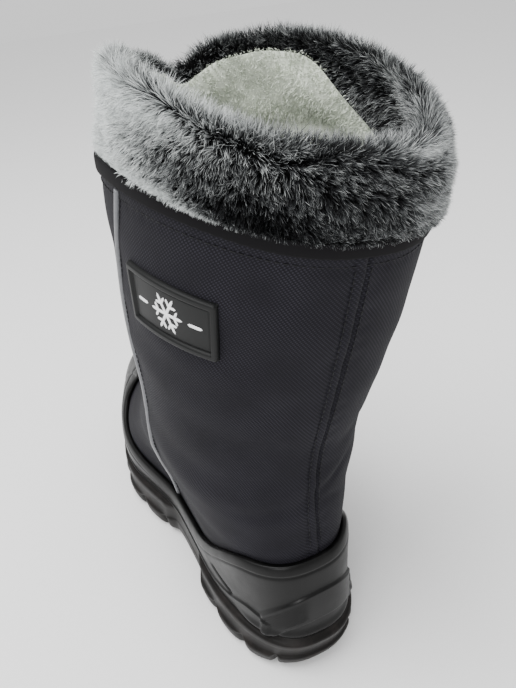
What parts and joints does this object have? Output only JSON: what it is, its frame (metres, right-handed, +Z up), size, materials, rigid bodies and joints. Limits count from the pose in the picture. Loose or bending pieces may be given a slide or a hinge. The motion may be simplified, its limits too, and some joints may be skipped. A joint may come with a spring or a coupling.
{
  "type": "apres ski boot",
  "caption": "Pull-on winter boot: padded nylon shaft set in a moulded foam rubber galosh with a lugged sole, fur cuff round the collar, side piping and a bare moulded side plate.",
  "frame": {"origin": "middle of the heel's flat face on the floor", "axes": "+X towards the toe, +Y towards the wearer's left, which is the outer side, +Z up"},
  "size_m": [0.3201, 0.1488, 0.3264],
  "materials": {
    "moulded_rubber": "black moulded rubber, satin",
    "foam_rubber": "black moulded foam rubber, semi-gloss",
    "padded_nylon": "charcoal woven nylon twill over padding, matte",
    "ribbed_tape": "black ribbed binding tape, matte",
    "long_fur": "charcoal artificial fur with silver tips",
    "reflective_piping": "grey reflective tape on a cord, satin",
    "moulded_plate": "black moulded soft plastic, satin",
    "felt": "pale grey felt"
  },
  "bodies": {
    "root": {"outsole": "moulded_rubber", "galosh": "foam_rubber", "shaft": "padded_nylon", "rim_binding": "ribbed_tape", "fur_cuff": "long_fur", "piping_lateral": "reflective_piping", "piping_medial": "reflective_piping", "side_patch": "moulded_plate", "insole": "felt"}
  },
  "joints": []
}
